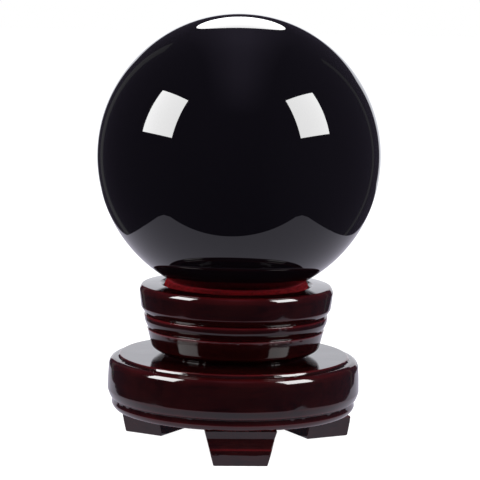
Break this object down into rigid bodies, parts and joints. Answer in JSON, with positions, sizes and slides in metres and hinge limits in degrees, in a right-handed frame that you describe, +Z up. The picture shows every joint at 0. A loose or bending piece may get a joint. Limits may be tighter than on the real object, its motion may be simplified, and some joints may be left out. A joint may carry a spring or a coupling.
{
  "type": "crystal ball",
  "caption": "Polished black glass sphere resting in a padded velvet seat on a two-tier turned, dark red lacquered wooden stand with bracket feet.",
  "frame": {"origin": "on the table, on the axis that the ball and both tiers share, at the middle of the object's box", "axes": "+Z up the shared axis from the table through the ball; -Y towards the front, where one foot points; +X to the right seen from the front"},
  "size_m": [0.11, 0.11, 0.1674],
  "materials": {
    "black_glass": "polished, opaque",
    "red_velvet": "napped pile",
    "foam": "soft open foam",
    "lacquered_wood": "high-gloss dark red lacquer",
    "dowel_wood": "bare",
    "nail_steel": "bright wire"
  },
  "bodies": {
    "stand": {"velvet_seat": "red_velvet", "foam_ring": "foam", "upper_tier": "lacquered_wood", "lower_tier": "lacquered_wood", "tier_dowel": "dowel_wood", "foot_front": "lacquered_wood", "foot_left": "lacquered_wood", "foot_right": "lacquered_wood", "foot_nail_front_a": "nail_steel", "foot_nail_front_b": "nail_steel", "foot_nail_left_a": "nail_steel", "foot_nail_left_b": "nail_steel", "foot_nail_right_a": "nail_steel", "foot_nail_right_b": "nail_steel"},
    "ball": {"crystal_ball": "black_glass"}
  },
  "joints": [
    {"name": "ball_lift", "type": "slide", "parent": "stand", "child": "ball", "axis": [0, 0, 1], "range_m": [0, 0.06]}
  ]
}
